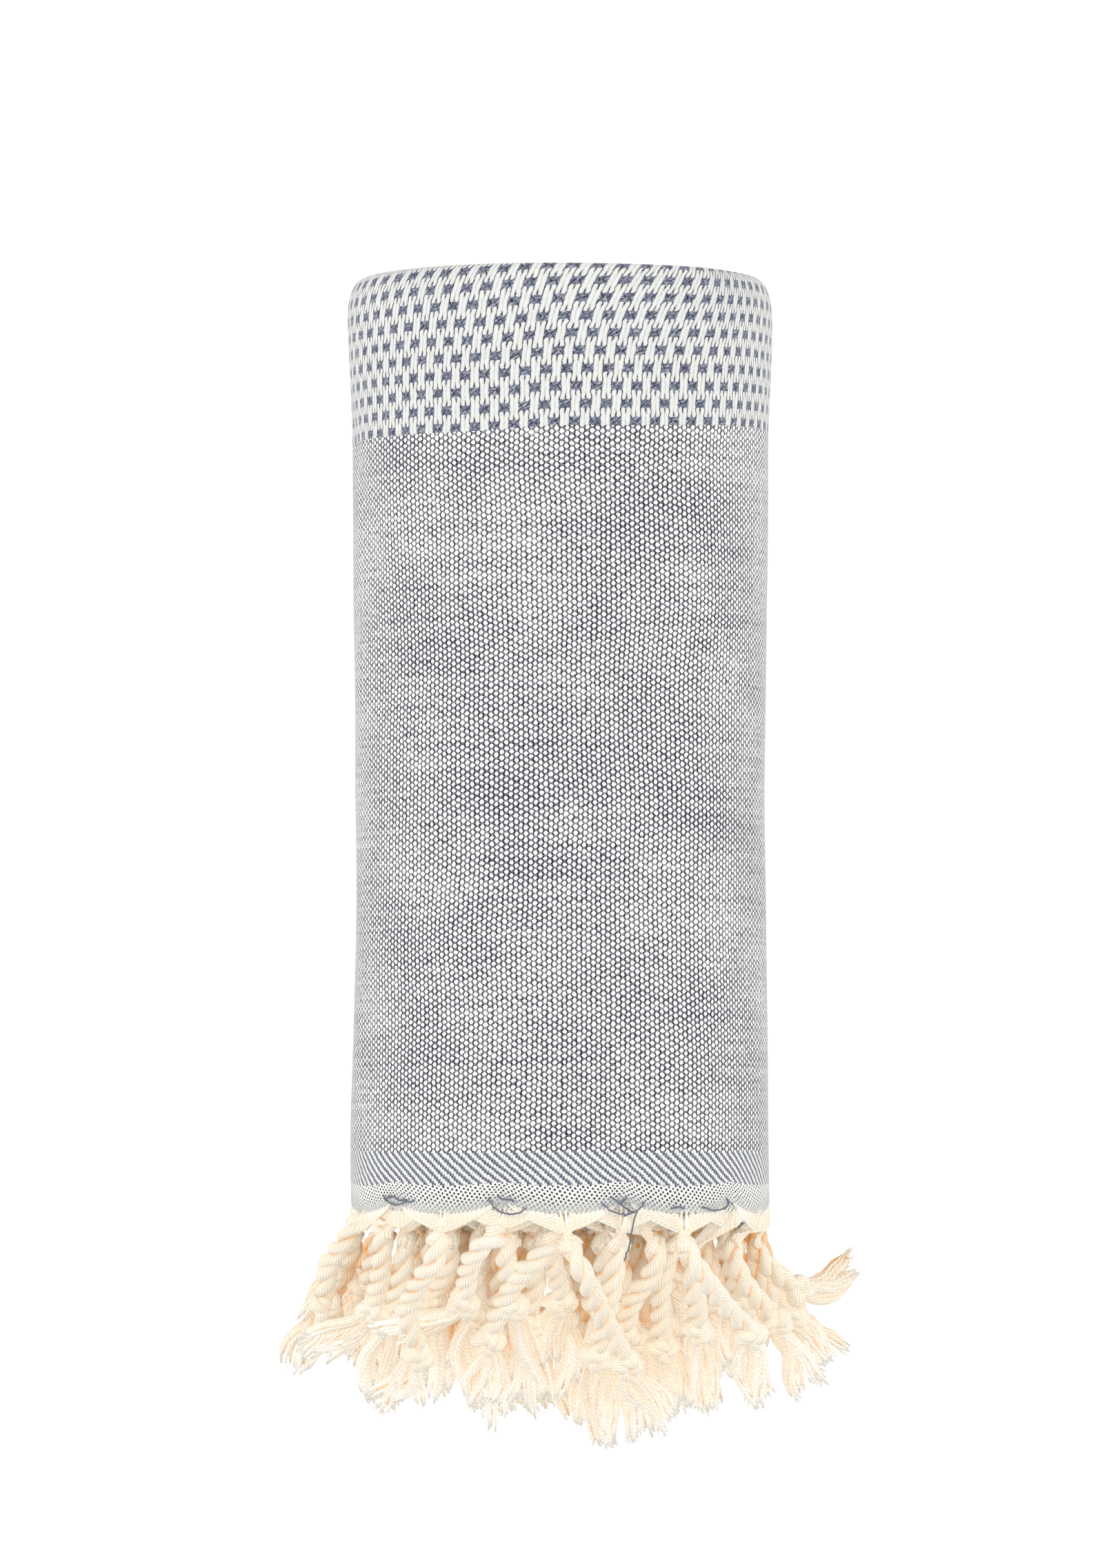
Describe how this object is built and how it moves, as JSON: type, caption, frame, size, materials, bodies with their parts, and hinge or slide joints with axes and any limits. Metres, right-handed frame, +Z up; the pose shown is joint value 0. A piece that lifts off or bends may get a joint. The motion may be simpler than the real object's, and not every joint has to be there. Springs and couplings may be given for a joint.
{
  "type": "rolled beach towel",
  "caption": "Flat-woven cotton beach towel with knotted, twisted fringes, halved three times, rolled up and lying on its side with the fringed end out.",
  "frame": {"origin": "middle of the flat spot that the roll rests on", "axes": "+Y along the roll, from the fringed end to the folded end; +Z up; the towel's loose edge lies underneath at +X"},
  "size_m": [0.1399, 0.2812, 0.0971],
  "materials": {
    "woven_cotton": "plain weave of white warp over blue-grey weft, with a check border; matt",
    "fringe_cotton": "soft two-ply cream cotton yarn; matt"
  },
  "bodies": {
    "root": {"towel": "woven_cotton", "outer_fringe": "fringe_cotton", "inner_fringe": "fringe_cotton"}
  },
  "joints": []
}
